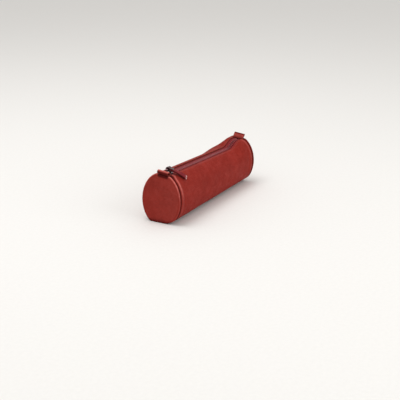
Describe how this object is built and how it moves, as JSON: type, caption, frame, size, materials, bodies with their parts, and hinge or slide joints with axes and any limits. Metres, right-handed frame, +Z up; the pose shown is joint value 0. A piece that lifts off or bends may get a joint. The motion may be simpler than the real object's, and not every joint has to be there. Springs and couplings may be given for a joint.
{
  "type": "round pencil case",
  "caption": "Soft leather tube pencil case with round sewn ends, a zip along its top with a sliding pull, and a folded tab at each end.",
  "frame": {"origin": "on the table, under the middle of the case's length and the middle of its round ends' section", "axes": "+X from the front end, where the slider of the closed zip sits, to the rear end; +Z up from the table; +Y to the left when looking along +X, away from the pull"},
  "size_m": [0.2126, 0.0557, 0.0719],
  "materials": {
    "leather": "fine-grained red-brown leather, soft sheen",
    "zip_cloth": "dark red woven zip tape",
    "zip_metal": "dark gunmetal plating, glossy"
  },
  "bodies": {
    "case": {"body_panel": "leather", "end_disc_front": "leather", "end_disc_rear": "leather", "zip_tape_left": "zip_cloth", "zip_tape_right": "zip_cloth", "zip_row_left": "zip_metal", "zip_row_right": "zip_metal", "tab_front": "leather", "tab_rear": "leather"},
    "slider": {"slider_body": "zip_metal", "slider_crown": "zip_metal"},
    "pull": {"pull_clamp": "zip_metal", "pull_strip": "leather"}
  },
  "joints": [
    {"name": "slider_slide", "type": "slide", "parent": "case", "child": "slider", "axis": [0.9989, 0.0053, -0.0459], "range_m": [0, 0.136], "deforming": ["zip_row_left", "zip_row_right"]},
    {"name": "pull_swing", "type": "hinge", "parent": "slider", "child": "pull", "pos_m": [-0.09219, -0.0045, 0.0691], "axis": [-0.9989, -0.0053, 0.0459], "range_deg": [0, 165]}
  ]
}
